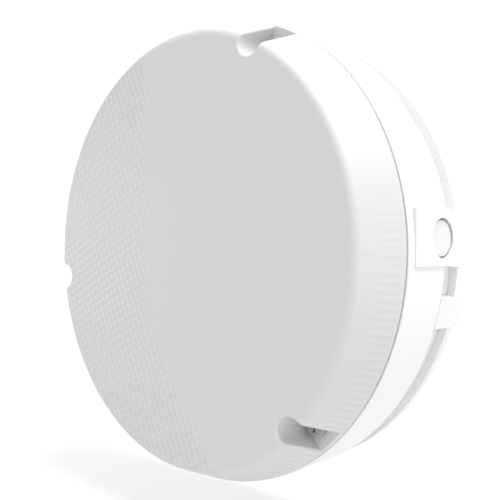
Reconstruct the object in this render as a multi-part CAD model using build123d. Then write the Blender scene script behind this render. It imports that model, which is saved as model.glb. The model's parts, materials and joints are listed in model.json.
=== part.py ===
from build123d import *
import os
from math import cos, radians, sin

# A round wall siren with a built-in strobe.  Sizes are in millimetres.
#
# Every piece is drawn in a bench frame: the wall is the plane z = 0, z is the depth out
# from the wall, and x and y run right and up as seen from the front.  save() turns the
# piece into the stored frame, where the wall is the plane Y = 0, the front faces -Y and
# +Z is up, with the origin in the middle of the rear mounting face.

# ---- round body -------------------------------------------------------------------
ring_radius = 80.0          # widest part: the flange that the lens closes on
ring_length = 4.1
ring_step = 0.5             # how far the flange stands out past the body
ring_edge = 0.7
body_length = 17.6          # from the waist to the flange
body_edge = 0.8
wall = 2.6
floor_thickness = 2.5
waist_depth = 3.6           # the groove between the body and the wall plate
waist_length = 8.7
skirt_wall = 2.4

# ---- wall plate -------------------------------------------------------------------
plate_thickness = 4.0
plate_inset = 1.5           # plate edge behind the flange edge
plate_edge = 1.0
wall_screw_inset = 12.6     # wall screw holes inside the circle of the plate screws
wall_screw_radius = 2.5
wall_screw_head_radius = 4.6
wall_screw_head_depth = 1.8
wall_seal_inset = 0.9       # wall seal inside the skirt
wall_seal_width = 3.0
wall_seal_depth = 1.2
foot_angle = -13.9          # first locating foot, the others a third of a turn apart
foot_width = 9.6
foot_lap = 0.8              # how far a foot laps forward over the body
foot_lap_depth = 1.2
foot_proud = 0.0
foot_gap = 0.1              # room round a foot in the body

# ---- lens -------------------------------------------------------------------------
lens_height = 16.2          # from the flange to the front face
lens_thickness = 2.2
lens_inset = 0.3            # lens edge behind the flange edge
lens_rim = 1.0
lens_draft = 6.0            # how much the side wall leans in
lens_edge = 2.8
seat_gap = 0.3
notch_angle = 188.2         # the left notch
notch_spread = 125.0        # from there to each of the others, so the lens fits one way
notch_radius = 4.7
notch_inset = 6.8           # screw axis inside the lens edge
notch_floor = 1.8
notch_edge = 0.7

# ---- lens screws ------------------------------------------------------------------
screw_shank_radius = 1.95
screw_head_radius = 3.5
screw_head_height = 1.9
screw_length = 14.0
screw_clearance = 0.3
running_gap = 0.05
o_ring_height = 0.5
o_ring_width = 1.1
insert_radius = 2.8
insert_length = 8.0
lens_boss_radius = 4.4
gasket_width = 1.8
gasket_depth = 1.6
gasket_offset = 0.9

# ---- side lug and push button -----------------------------------------------------
lug_height = 16.8
lug_centre = 3.9            # middle of the lug above the middle of the siren
lug_wall_gap = 0.3
well_radius = 6.0
well_depth_from_wall = 15.4
button_recess = 0.5
button_gap = 0.10
button_length = 4.0
button_flange_length = 1.6
button_flange_step = 0.6
button_travel = 1.5
button_end_gap = 0.3
button_stem_radius = 1.6
tube_wall = 1.8
tube_length = 18.0
button_board_thickness = 1.6
button_switch_size = 6.2
button_switch_height = 3.5
button_spring_radius = 4.9
button_spring_wire = 0.6
spring_turns = 5

# ---- sounder ----------------------------------------------------------------------
sounder_radius = 28.5
sounder_wall = 2.0
sounder_height = 14.0
sounder_flange_step = 1.5   # flange of the sounder outside its body
sounder_flange_thickness = 2.0
sound_hole_radius = 22.0
sounder_screw_step = 2.8    # screws of the sounder outside its body
sounder_screw_angles = [0.0, 120.0, 240.0]
sounder_ear_radius = 3.2
piezo_gap = 1.0             # room between the piezo plate and the sounder's wall
piezo_thickness = 0.4
ceramic_radius = 18.0
ceramic_thickness = 0.4
piezo_ring_width = 3.0
piezo_ring_height = 3.3
piezo_seal_height = 2.0
sounder_seal_thickness = 0.8
guard_hole_radius = 2.2
deflector_radius = 20.0
deflector_height = 4.4
slot_width = 3.0
slot_height = 5.0
slot_pitch_angle = 6.0
slot_count = 14
screen_thickness = 0.4

# ---- boards and what they carry ---------------------------------------------------
board_thickness = 1.6
board_standoff = 3.5
board_edge_gap = 2.5
board_inner_gap = 1.5
board_battery_gap = 0.7
board_screw_places = [(48.0, 52.0), (50.0, -28.0), (50.0, -95.0), (40.0, 128.0)]
standoff_radius = 3.0
small_screw_radius = 1.5
small_head_radius = 2.8
small_head_height = 1.6
terminal_size = (10.0, 20.4, 9.4)
terminal_place = (-23.5, 47.0)
terminal_ways = 4
core_size = (14.0, 12.0, 9.2)
core_place = (30.0, -42.0)
capacitor_radius = 4.0
capacitor_height = 9.0
capacitor_places = [(8.0, 47.0), (18.0, 45.0)]
chip_size = (10.3, 7.5, 2.3)
chip_place = (12.0, -50.0)
trimmer_size = (7.0, 7.0, 4.2)
trimmer_place = (46.0, 4.0)
rotor_radius = 2.2
rotor_proud = 0.6
dip_size = (9.8, 11.6, 3.8)
dip_place = (46.0, -10.0)
dip_ways = 4
dip_pitch = 2.54
dip_slider = (1.6, 1.2, 1.6)
dip_travel = 1.8

# ---- lens tamper ------------------------------------------------------------------
tamper_place = (42.0, 42.0)
tamper_switch_size = (12.8, 5.8, 6.5)
plunger_radius = 2.0
plunger_gap = 0.08
plunger_cap_radius = 3.4
plunger_cap_height = 1.5
plunger_flange_radius = 3.2
plunger_flange_height = 1.4
plunger_travel = 1.5
guide_wall = 1.4
guide_height = 5.0
tamper_spring_length = 3.6
tamper_spring_wire = 0.5
tamper_spring_turns = 3
pip_radius = 2.5

# ---- LED carrier ------------------------------------------------------------------
carrier_depth = 3.4         # carrier underside below the flange face
carrier_thickness = 2.0
carrier_rim_width = 1.4
carrier_rim_gap = 0.5
carrier_boss_gap = 1.0
pillar_inset = 8.0          # pillars inside the edge of the main board
pillar_angles = [20.0, 100.0, 240.0]
pillar_base_radius = 4.4
pillar_top_radius = 3.2
led_board_inner = 20.0
led_board_outer = 50.0
led_size = (3.5, 3.5, 0.8)
led_rows = [(28.0, 6), (42.0, 12)]
led_screw_circle = 35.0

# ---- battery ----------------------------------------------------------------------
cell_radius = 5.2
cell_length = 44.0
cell_pitch = 10.6
cell_count = 3
battery_gap = 1.5           # between the tray and the flange of the sounder
tray_wall = 1.4
tray_floor = 1.0
tray_height = 6.0
strap_width = 12.0
strap_thickness = 1.2

# ---- cable entry and plate screws -------------------------------------------------
cable_place = (-44.0, 38.0)
cable_hole_radius = 9.0
cable_bore_radius = 4.0
grommet_lip = 1.6
grommet_lip_height = 1.4
plate_screw_inset = 5.9     # plate screws inside the skirt
plate_screw_angles = [32.0, 152.0, 272.0]
plate_boss_radius = 4.0

# ---- places that follow from the sizes above --------------------------------------
body_radius = ring_radius - ring_step
cavity_radius = body_radius - wall
waist_radius = body_radius - waist_depth
plenum_radius = waist_radius - skirt_wall
plate_radius = ring_radius - plate_inset
lens_radius = ring_radius - lens_inset
z_body = plate_thickness + waist_length
z_floor = z_body + floor_thickness
z_ring = z_body + body_length
z_front = z_ring + ring_length
z_seat = z_front + seat_gap
z_face = z_front + lens_height
z_notch = z_seat + notch_floor
z_board = z_floor + board_standoff
z_parts = z_board + board_thickness
z_carrier = z_front - carrier_depth
z_led_board = z_carrier + carrier_thickness
notch_centre = lens_radius - notch_inset
sounder_flange_radius = sounder_radius + sounder_flange_step
sounder_screw_circle = sounder_radius + sounder_screw_step
piezo_radius = sounder_radius - sounder_wall - piezo_gap
plate_screw_circle = plenum_radius - plate_screw_inset
wall_screw_circle = 2 * (plate_screw_circle - wall_screw_inset)
wall_seal_radius = plenum_radius - wall_seal_inset - wall_seal_width
notch_angles = [notch_angle + notch_spread * n for n in (-1, 0, 1)]
foot_angles = [foot_angle + 120.0 * n for n in range(3)]
z_well = well_depth_from_wall
lug_face = ring_radius
chamber_radius = well_radius + button_flange_step
tube_inner_end = lug_face - tube_length
board_outer = notch_centre - lens_boss_radius - board_edge_gap
board_inner = sounder_screw_circle + sounder_ear_radius + board_inner_gap
pillar_circle = board_outer - pillar_inset
carrier_radius = notch_centre - lens_boss_radius - carrier_boss_gap


def disc(radius, low, high, place=(0.0, 0.0)):
    """A round solid standing on z = low."""
    return Pos(place[0], place[1], low) * Cylinder(
        radius, high - low, align=(Align.CENTER, Align.CENTER, Align.MIN)
    )


def ring(inner, outer, low, high, place=(0.0, 0.0)):
    """A round solid with a through hole."""
    return disc(outer, low, high, place) - disc(inner, low, high, place)


def box(x, y, z):
    """A box given as three (low, high) pairs."""
    return Pos(x[0], y[0], z[0]) * Box(
        x[1] - x[0], y[1] - y[0], z[1] - z[0], align=(Align.MIN, Align.MIN, Align.MIN)
    )


def box_on(size, place, low):
    """A box of a given size standing on z = low, centred on a place."""
    return Pos(place[0], place[1], low) * Box(
        *size, align=(Align.CENTER, Align.CENTER, Align.MIN)
    )


def polar(radius, angle):
    return (radius * cos(radians(angle)), radius * sin(radians(angle)))


def turned(points):
    """Revolve an outline of (radius, depth) points about the siren's axis."""
    outline = Polyline(*[(r, 0, z) for r, z in points], close=True)
    return revolve(make_face(outline), Axis.Z)


def along_x(radius, start, end, y, z):
    """A round solid along x, from start to end."""
    return Pos(start, y, z) * Rot(0, 90, 0) * Cylinder(
        radius, end - start, align=(Align.CENTER, Align.CENTER, Align.MIN)
    )


def coil(radius, length, turns, wire):
    """A compression spring standing on z = 0, its wire centres inside the length."""
    path = Helix(pitch=(length - wire) / turns, height=length - wire, radius=radius)
    start = Plane(origin=path @ 0, z_dir=path % 0)
    return Pos(0, 0, wire / 2) * sweep(start * Circle(wire / 2), path)


def machine_screw(shank, head, head_height, length, cross=0.55):
    """A pan-head cross-recess screw, its head standing on z = 0."""
    body = disc(head, 0, head_height) + disc(shank, -length, 0)
    rim = body.edges().filter_by(GeomType.CIRCLE).group_by(Axis.Z)[-1]
    body = fillet(rim, head_height * 0.45)
    slot_low = head_height * 0.4
    arm = head * cross
    thin = head * 0.13
    body -= box((-arm, arm), (-thin, thin), (slot_low, head_height))
    body -= box((-thin, thin), (-arm, arm), (slot_low, head_height))
    tip = body.edges().filter_by(GeomType.CIRCLE).group_by(Axis.Z)[0]
    return chamfer(tip, shank * 0.3)


def small_screw(length):
    return machine_screw(small_screw_radius, small_head_radius, small_head_height, length)


def group(pieces):
    return Compound(children=list(pieces))


# ---- wall plate and what is fixed to it ---------------------------------------------
def lug_outline(grow, low):
    """The lug's plan on the side of the siren: straight sides and a round rear end."""
    half = lug_height / 2 + grow
    z_round = lug_wall_gap + lug_height / 2
    inner = waist_radius - skirt_wall / 2
    block = box((inner, lug_face), (lug_centre - half, lug_centre + half), (z_round, z_ring))
    return block + along_x(half, inner, lug_face, lug_centre, z_round)


def foot(angle, grow):
    """A locating foot: it crosses the waist and laps over the edge of the body."""
    half = foot_width / 2 + grow
    outer = body_radius + foot_proud
    lap = box(
        (body_radius - foot_lap_depth - grow, outer),
        (-half, half),
        (z_body - grow, z_body + foot_lap + grow),
    )
    post = box((waist_radius + foot_gap, outer), (-half, half), (0, z_body))
    return Rot(0, 0, angle) * (lap + post)


def wall_plate():
    plate = disc(plate_radius, 0, plate_thickness)
    plate = chamfer(plate.edges().group_by(Axis.Z)[0], plate_edge)
    for angle in foot_angles:
        plate += foot(angle, 0)
    for angle in plate_screw_angles:
        plate += disc(plate_boss_radius, 0, z_body, polar(plate_screw_circle, angle))
    half = lug_height / 2 + screw_clearance
    lug_room = waist_radius - skirt_wall
    plate -= box(
        (lug_room, ring_radius), (lug_centre - half, lug_centre + half), (0, plate_thickness)
    )
    for angle in plate_screw_angles:
        plate -= disc(small_screw_radius, plate_thickness / 2, z_body, polar(plate_screw_circle, angle))
    for angle in (0, 90, 180, 270):
        place = polar(wall_screw_circle / 2, angle)
        plate -= disc(wall_screw_radius, 0, plate_thickness, place)
        plate -= disc(
            wall_screw_head_radius, plate_thickness - wall_screw_head_depth, plate_thickness, place
        )
    plate -= disc(cable_hole_radius, 0, plate_thickness, cable_place)
    plate -= ring(wall_seal_radius, wall_seal_radius + wall_seal_width, 0, wall_seal_depth)
    return plate


def wall_seal():
    return ring(wall_seal_radius, wall_seal_radius + wall_seal_width, 0, wall_seal_depth)


def sound_deflector():
    """A low cone on the wall plate that turns the sound out to the slots."""
    top = deflector_radius * 0.15
    return turned([
        (0, plate_thickness),
        (deflector_radius, plate_thickness),
        (deflector_radius, plate_thickness + 0.8),
        (top, plate_thickness + deflector_height),
        (0, plate_thickness + deflector_height),
    ])


# ---- housing ------------------------------------------------------------------------
def sound_slots():
    """Upright slots through the skirt, along the underside of the siren."""
    middle = plate_thickness + waist_length / 2
    low = middle - slot_height / 2
    first = 270.0 - slot_pitch_angle * (slot_count - 1) / 2
    one = box(
        (plenum_radius - 1, waist_radius + 1), (-slot_width / 2, slot_width / 2), (low, low + slot_height)
    )
    return [Rot(0, 0, first + slot_pitch_angle * n) * one for n in range(slot_count)]


def housing():
    shell = turned([
        (0, z_body), (plenum_radius, z_body), (plenum_radius, plate_thickness),
        (waist_radius, plate_thickness), (waist_radius, z_body),
        (body_radius - body_edge, z_body), (body_radius, z_body + body_edge),
        (body_radius, z_ring), (ring_radius - ring_edge, z_ring),
        (ring_radius, z_ring + ring_edge), (ring_radius, z_front - ring_edge),
        (ring_radius - ring_edge, z_front), (0, z_front),
    ])
    inside = disc(cavity_radius, z_floor, z_front)
    for angle in notch_angles:
        inside -= disc(lens_boss_radius, z_floor, z_front, polar(notch_centre, angle))
    shell -= inside
    shell += lug_outline(0, 0)
    shell += along_x(chamber_radius + tube_wall, tube_inner_end, body_radius, lug_centre, z_well)
    for angle in pillar_angles:
        place = polar(pillar_circle, angle)
        shell += disc(pillar_base_radius, z_floor, z_board, place)
        shell += disc(pillar_top_radius, z_floor, z_carrier, place)
    for radius, angle in board_screw_places:
        shell += disc(standoff_radius, z_floor, z_board, polar(radius, angle))

    shoulder = button_front() - button_length
    shell -= along_x(well_radius, shoulder, lug_face + 1, lug_centre, z_well)
    shell -= along_x(chamber_radius, tube_inner_end, shoulder, lug_centre, z_well)
    shell -= disc(sound_hole_radius, z_body, z_floor)
    shell -= disc(cable_hole_radius, z_body, z_floor, cable_place)
    for angle in notch_angles:
        place = polar(notch_centre, angle)
        shell -= disc(insert_radius, z_front - insert_length, z_front, place)
        shell -= disc(screw_shank_radius + screw_clearance, z_floor + 2, z_front, place)
    shell -= lens_gasket()
    for place in sounder_places():
        shell -= disc(small_screw_radius, z_body, z_floor, place)
    for angle in plate_screw_angles:
        shell -= disc(small_screw_radius, z_body, z_floor, polar(plate_screw_circle, angle))
    for angle in pillar_angles:
        shell -= disc(small_screw_radius, z_carrier - 9, z_carrier, polar(pillar_circle, angle))
    for radius, angle in board_screw_places:
        shell -= disc(small_screw_radius, z_floor, z_board, polar(radius, angle))
    for angle in foot_angles:
        shell -= foot(angle, foot_gap)
    for slot in sound_slots():
        shell -= slot
    return shell


def insect_screen():
    """A band of fine mesh that lines the skirt behind the slots."""
    span = slot_pitch_angle * (slot_count + 1)
    band = ring(plenum_radius - screen_thickness, plenum_radius, plate_thickness, z_body)
    reach = ring_radius
    keep = Rot(0, 0, 270.0 - span / 2) * box((0, reach), (0, reach), (0, z_front))
    keep += Rot(0, 0, 270.0 + span / 2 - 90.0) * box((0, reach), (0, reach), (0, z_front))
    return band & keep


def cable_grommet():
    """A rubber grommet that snaps into the floor, with a bore for the cable."""
    lip = cable_hole_radius + grommet_lip
    body = disc(cable_hole_radius, z_body, z_floor, cable_place)
    body += disc(lip, z_floor, z_floor + grommet_lip_height, cable_place)
    body += disc(lip, z_body - grommet_lip_height, z_body, cable_place)
    cone = Pos(cable_place[0], cable_place[1], z_floor + grommet_lip_height) * Cone(
        cable_hole_radius, cable_bore_radius + 1.2, 4.0, align=(Align.CENTER, Align.CENTER, Align.MIN)
    )
    body += cone
    low = z_body - grommet_lip_height
    return body - disc(cable_bore_radius, low, z_floor + grommet_lip_height + 4.0, cable_place)


def plate_screws():
    return group(
        Pos(*polar(plate_screw_circle, a), z_floor) * small_screw(z_floor - plate_thickness / 2 - 1.0)
        for a in plate_screw_angles
    )


# ---- lens and its fasteners -----------------------------------------------------------
def channel(grow, low):
    """The U-shaped way in to one lens screw, open to the side and to the front."""
    radius = notch_radius + grow
    top = z_face + 1
    way = disc(radius, low, top, (notch_centre, 0))
    return way + box((notch_centre, lens_radius + 1), (-radius, radius), (low, top))


def lens_form(shrink, top):
    """The lens as a solid of revolution, shrunk by a wall thickness for its inside."""
    upper = lens_radius - lens_draft - shrink
    form = turned([
        (0, z_seat), (lens_radius - shrink, z_seat), (lens_radius - shrink, z_seat + lens_rim),
        (upper, top), (0, top),
    ])
    edge = form.edges().filter_by(GeomType.CIRCLE).group_by(Axis.Z)[-1]
    return fillet(edge, max(lens_edge - shrink, 0.5))


def lens():
    shell = lens_form(0, z_face)
    inside = lens_form(lens_thickness, z_face - lens_thickness)
    for angle in notch_angles:
        shell -= Rot(0, 0, angle) * channel(0, z_notch)
        inside -= Rot(0, 0, angle) * channel(lens_thickness, z_seat)
    mouth = shell.faces().sort_by(Axis.Z)[-1].edges().filter_by(lambda e: e.length < 3 * notch_radius + 4)
    shell = fillet(mouth, notch_edge)
    shell -= inside
    for angle in notch_angles:
        shell -= disc(screw_shank_radius + screw_clearance, z_seat, z_notch, polar(notch_centre, angle))
    pip_low = plunger_top() + button_end_gap
    shell += disc(pip_radius, pip_low, z_face - lens_thickness / 2, tamper_place)
    return shell


def lens_gasket():
    inner = cavity_radius + gasket_offset
    return ring(inner, inner + gasket_width, z_front - gasket_depth, z_front)


def o_rings():
    inner = screw_shank_radius + screw_clearance
    return group(
        ring(inner, inner + o_ring_width, z_notch, z_notch + o_ring_height, polar(notch_centre, a))
        for a in notch_angles
    )


def lens_screw(angle):
    low = z_notch + o_ring_height + running_gap
    one = machine_screw(screw_shank_radius, screw_head_radius, screw_head_height, screw_length)
    return Pos(*polar(notch_centre, angle), low) * one


def inserts():
    """Brass inserts moulded into the three bosses."""
    return group(
        ring(
            screw_shank_radius + running_gap,
            insert_radius,
            z_front - insert_length,
            z_front,
            polar(notch_centre, a),
        )
        for a in notch_angles
    )


# ---- push button ----------------------------------------------------------------------
def button_front():
    return lug_face - button_recess


def button_back():
    return button_front() - button_length - button_flange_length


def board_face():
    return tube_inner_end + button_board_thickness


def push_button():
    front = button_front()
    shoulder = front - button_length - screw_clearance
    cap = along_x(well_radius - button_gap, shoulder, front, lug_centre, z_well)
    rim = cap.edges().filter_by(GeomType.CIRCLE).group_by(Axis.X)[-1]
    cap = fillet(rim, 0.6)
    cap += along_x(chamber_radius - button_gap, button_back(), shoulder, lug_centre, z_well)
    tip = board_face() + button_switch_height + button_end_gap + button_travel
    return cap + along_x(button_stem_radius, tip, button_back(), lug_centre, z_well)


def button_spring():
    low = board_face()
    length = button_back() - low
    spring = coil(button_spring_radius, length, spring_turns, button_spring_wire)
    return Pos(low, lug_centre, z_well) * Rot(0, 90, 0) * spring


def button_board():
    return along_x(chamber_radius - button_gap, tube_inner_end, board_face(), lug_centre, z_well)


def button_switch():
    half = button_switch_size / 2
    low = board_face()
    case = box(
        (low, low + button_switch_height - 0.6),
        (lug_centre - half, lug_centre + half),
        (z_well - half, z_well + half),
    )
    return case + along_x(1.7, low, low + button_switch_height, lug_centre, z_well)


# ---- sounder --------------------------------------------------------------------------
def sounder_places():
    return [polar(sounder_screw_circle, angle) for angle in sounder_screw_angles]


def sounder_body():
    low = z_floor + sounder_seal_thickness
    top = z_floor + sounder_height
    step = z_floor + piezo_ring_height + piezo_thickness + piezo_seal_height
    inner = sounder_radius - sounder_wall
    cup = disc(sounder_radius, low, top)
    cup += disc(sounder_flange_radius, low, low + sounder_flange_thickness)
    cup = fillet(cup.edges().filter_by(GeomType.CIRCLE).group_by(Axis.Z)[-1], 1.2)
    for place in sounder_places():
        cup += disc(sounder_ear_radius, low, low + sounder_flange_thickness, place)
        cup += disc(small_screw_radius + 1.2, low, low + 4.5, place)
    cup -= disc(inner, low, step)
    cup -= disc(inner - piezo_ring_width, low, top - sounder_wall)
    for place in sounder_places():
        cup -= disc(small_screw_radius, low, low + 4.0, place)
    return cup


def sounder_seal():
    top = z_floor + sounder_seal_thickness
    inner = sounder_radius - sounder_wall
    seal = ring(inner, sounder_flange_radius, z_floor, top)
    for place in sounder_places():
        seal += disc(sounder_ear_radius, z_floor, top, place)
    seal -= disc(inner, z_floor, top)
    for place in sounder_places():
        seal -= disc(small_screw_radius, z_floor, top, place)
    return seal


def piezo_ring():
    outer = sounder_radius - sounder_wall
    return ring(outer - piezo_ring_width, outer, z_floor, z_floor + piezo_ring_height)


def piezo_plate():
    low = z_floor + piezo_ring_height
    return disc(piezo_radius, low, low + piezo_thickness)


def piezo_ceramic():
    low = z_floor + piezo_ring_height + piezo_thickness
    return disc(ceramic_radius, low, low + ceramic_thickness)


def piezo_seal():
    low = z_floor + piezo_ring_height + piezo_thickness
    outer = sounder_radius - sounder_wall
    return ring(outer - piezo_ring_width, outer, low, low + piezo_seal_height)


def sounder_guard():
    """A perforated guard in the floor opening, with rings of round holes."""
    guard = disc(sound_hole_radius, z_body, z_floor)
    pitch = guard_hole_radius * 3.1
    rows = int((sound_hole_radius - guard_hole_radius - 1.0) / pitch)
    guard -= disc(guard_hole_radius, z_body, z_floor)
    for row in range(1, rows + 1):
        for n in range(6 * row):
            place = polar(pitch * row, 60.0 * n / row)
            guard -= disc(guard_hole_radius, z_body, z_floor, place)
    return guard


def sounder_screws():
    length = z_floor + sounder_seal_thickness + 3.5 - z_body
    return group(
        Pos(*place, z_body) * Rot(180, 0, 0) * small_screw(length) for place in sounder_places()
    )


# ---- main board -----------------------------------------------------------------------
def main_board():
    """A C-shaped board round the sounder, cut back for the battery and the button."""
    board = ring(board_inner, board_outer, z_board, z_parts)
    left_edge = tray_span()[1] + tray_wall + strap_thickness + board_battery_gap
    board -= box((-ring_radius, left_edge), (-ring_radius, ring_radius), (z_board, z_parts))
    tube_half = chamber_radius + tube_wall + screw_clearance
    board -= box(
        (tube_inner_end - 1.0, ring_radius),
        (lug_centre - tube_half, lug_centre + tube_half),
        (z_board, z_parts),
    )
    for angle in pillar_angles:
        board -= disc(pillar_top_radius + screw_clearance, z_board, z_parts, polar(pillar_circle, angle))
    for radius, angle in board_screw_places:
        board -= disc(small_screw_radius, z_board, z_parts, polar(radius, angle))
    return board


def main_board_screws():
    return group(
        Pos(*polar(r, a), z_parts) * small_screw(board_thickness + board_standoff - 0.5)
        for r, a in board_screw_places
    )


def terminal_way_places():
    pitch = terminal_size[1] / terminal_ways
    first = terminal_place[1] - terminal_size[1] / 2 + pitch / 2
    return [(terminal_place[0], first + pitch * n) for n in range(terminal_ways)]


def terminal_block():
    block = box_on(terminal_size, terminal_place, z_parts)
    top = z_parts + terminal_size[2]
    left = terminal_place[0] - terminal_size[0] / 2
    for x, y in terminal_way_places():
        block -= disc(1.7, top - 4.0, top, (x, y))
        block -= box((left, left + 4.0), (y - 1.4, y + 1.4), (z_parts + 1.2, z_parts + 4.0))
    return block


def terminal_screws():
    top = z_parts + terminal_size[2] - 0.6
    screw = disc(1.65, -3.4, 0) - box((-1.65, 1.65), (-0.3, 0.3), (-0.7, 0))
    return group(Pos(x, y, top) * screw for x, y in terminal_way_places())


def transformer_core():
    size_x, size_y, size_z = core_size
    core = box_on(core_size, core_place, z_parts)
    window = (size_x, size_y * 0.55, size_z * 0.56)
    core -= box_on(window, core_place, z_parts + size_z * 0.22)
    return core + box_on((size_x * 0.3, size_y * 0.56, size_z * 0.6), core_place, z_parts + size_z * 0.2)


def transformer_coil():
    size_x, size_y, size_z = core_size
    coil_body = box_on((size_x * 0.9, size_y * 0.53, size_z * 0.54), core_place, z_parts + size_z * 0.23)
    return coil_body - transformer_core()


def capacitors():
    def one(place):
        can = disc(capacitor_radius, z_parts, z_parts + capacitor_height, place)
        return fillet(can.edges().filter_by(GeomType.CIRCLE).group_by(Axis.Z)[-1], 0.6)

    return group(one(place) for place in capacitor_places)


def controller_chip():
    size_x, size_y, size_z = chip_size
    body = box_on((size_x, size_y - 2.0, size_z - 0.2), chip_place, z_parts + 0.2)
    pins = 8
    for n in range(pins):
        x = chip_place[0] - size_x / 2 + size_x * (n + 0.5) / pins
        body += box_on((0.45, size_y, 0.5), (x, chip_place[1]), z_parts)
    return body


def trimmer_body():
    top = z_parts + trimmer_size[2]
    body = box_on(trimmer_size, trimmer_place, z_parts)
    return body - disc(rotor_radius + running_gap, z_parts + 1.0, top, trimmer_place)


def trimmer_rotor():
    top = z_parts + trimmer_size[2] + rotor_proud
    rotor = disc(rotor_radius, z_parts + 1.0 + running_gap, top, trimmer_place)
    slot = (rotor_radius * 1.5, 0.6, 1.0)
    return rotor - box_on(slot, trimmer_place, top - 0.7)


def dip_way_places():
    first = dip_place[1] - dip_pitch * (dip_ways - 1) / 2
    return [(dip_place[0], first + dip_pitch * n) for n in range(dip_ways)]


def dip_body():
    top = z_parts + dip_size[2]
    body = box_on(dip_size, dip_place, z_parts)
    length = dip_slider[0] + dip_travel + 2 * running_gap
    for x, y in dip_way_places():
        left = x - length / 2
        half = dip_slider[1] / 2 + running_gap
        body -= box((left, left + length), (y - half, y + half), (top - 1.2, top))
    return body


def dip_slider_piece(index):
    x, y = dip_way_places()[index]
    left = x - (dip_slider[0] + dip_travel) / 2
    low = z_parts + dip_size[2] - 1.2 + running_gap
    half = dip_slider[1] / 2
    return box((left, left + dip_slider[0]), (y - half, y + half), (low, low + dip_slider[2]))


# ---- tamper switch and plunger ---------------------------------------------------------
def guide_top():
    return z_led_board + guide_height


def plunger_top():
    return guide_top() + tamper_spring_length + plunger_cap_height


def tamper_switch():
    case = box_on(tamper_switch_size, tamper_place, z_parts)
    return case + disc(1.2, z_parts, z_parts + tamper_switch_size[2] + 0.4, tamper_place)


def tamper_plunger():
    tip = z_parts + tamper_switch_size[2] + 0.4 + button_end_gap + plunger_travel
    flange_high = z_carrier - button_end_gap
    rod = disc(plunger_radius, tip, plunger_top(), tamper_place)
    rod += disc(plunger_flange_radius, flange_high - plunger_flange_height, flange_high, tamper_place)
    rod += disc(plunger_cap_radius, plunger_top() - plunger_cap_height, plunger_top(), tamper_place)
    return fillet(rod.edges().filter_by(GeomType.CIRCLE).group_by(Axis.Z)[-1], 0.5)


def tamper_spring():
    radius = plunger_radius + tamper_spring_wire / 2 + 0.3
    spring = coil(radius, tamper_spring_length, tamper_spring_turns, tamper_spring_wire)
    return Pos(*tamper_place, guide_top()) * spring


# ---- LED carrier and LED board ---------------------------------------------------------
def led_carrier():
    """A white tray that carries the LED board and hides the works behind it."""
    rim_top = z_front - carrier_rim_gap
    tray = disc(carrier_radius, z_carrier, z_led_board)
    tray += ring(carrier_radius - carrier_rim_width, carrier_radius, z_carrier, rim_top)
    guide_radius = plunger_radius + plunger_gap
    tray += disc(guide_radius + guide_wall, z_carrier, guide_top(), tamper_place)
    tray -= disc(guide_radius, z_carrier, guide_top(), tamper_place)
    for angle in pillar_angles:
        tray -= disc(small_screw_radius, z_carrier, z_led_board, polar(pillar_circle, angle))
    for place in led_screw_places():
        tray -= disc(small_screw_radius, z_carrier, z_led_board, place)
    return tray


def carrier_screws():
    return group(Pos(*polar(pillar_circle, a), z_led_board) * small_screw(9.0) for a in pillar_angles)


def led_screw_places():
    return [polar(led_screw_circle, 120.0 * n + 15.0) for n in range(3)]


def led_board():
    top = z_led_board + board_thickness
    board = ring(led_board_inner, led_board_outer, z_led_board, top)
    for place in led_screw_places():
        board -= disc(small_screw_radius, z_led_board, top, place)
    return board


def led_board_screws():
    length = board_thickness + carrier_thickness
    return group(
        Pos(*place, z_led_board + board_thickness) * small_screw(length) for place in led_screw_places()
    )


def leds():
    low = z_led_board + board_thickness
    chips = []
    for radius, count in led_rows:
        for n in range(count):
            chips.append(Rot(0, 0, 360.0 * n / count) * box_on(led_size, (radius, 0), low))
    return group(chips)


def led_plug():
    place = polar(led_board_inner + 4.0, 75.0)
    return box_on((5.0, 4.0, 4.2), place, z_led_board + board_thickness)


# ---- battery ----------------------------------------------------------------------------
def cell_xs():
    last = -sounder_flange_radius - battery_gap - tray_wall - screw_clearance - cell_radius
    return [last - cell_pitch * n for n in reversed(range(cell_count))]


def cell_depth():
    return z_floor + tray_floor + cell_radius


def battery_cells():
    def one(x):
        cell = Pos(x, -cell_length / 2, cell_depth()) * Rot(-90, 0, 0) * Cylinder(
            cell_radius, cell_length, align=(Align.CENTER, Align.CENTER, Align.MIN)
        )
        return fillet(cell.edges().filter_by(GeomType.CIRCLE), 0.5)

    return group(one(x) for x in cell_xs())


def tray_span():
    gap = screw_clearance
    left = cell_xs()[0] - cell_radius - gap
    right = cell_xs()[-1] + cell_radius + gap
    return left, right, cell_length / 2 + gap


def battery_tray():
    left, right, half = tray_span()
    low = z_floor
    outer = box(
        (left - tray_wall, right + tray_wall), (-half - tray_wall, half + tray_wall), (low, low + tray_height)
    )
    return outer - box((left, right), (-half, half), (low + tray_floor, low + tray_height))


def battery_strap():
    """A spring strap over the cells, hooked onto the two long walls of the tray."""
    left, right, half = tray_span()
    low = cell_depth() + cell_radius + 0.2
    top = low + strap_thickness
    out_left = left - tray_wall - strap_thickness
    out_right = right + tray_wall + strap_thickness
    side = strap_width / 2
    strap = box((out_left, out_right), (-side, side), (z_floor + 1.0, top))
    return strap - box((left - tray_wall, right + tray_wall), (-side, side), (z_floor + 1.0, low))


def save(shape, node):
    """Turn a piece into the stored frame and write it."""
    export_step(Rot(90, 0, 0) * shape, "parts/" + node + ".step")


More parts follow.
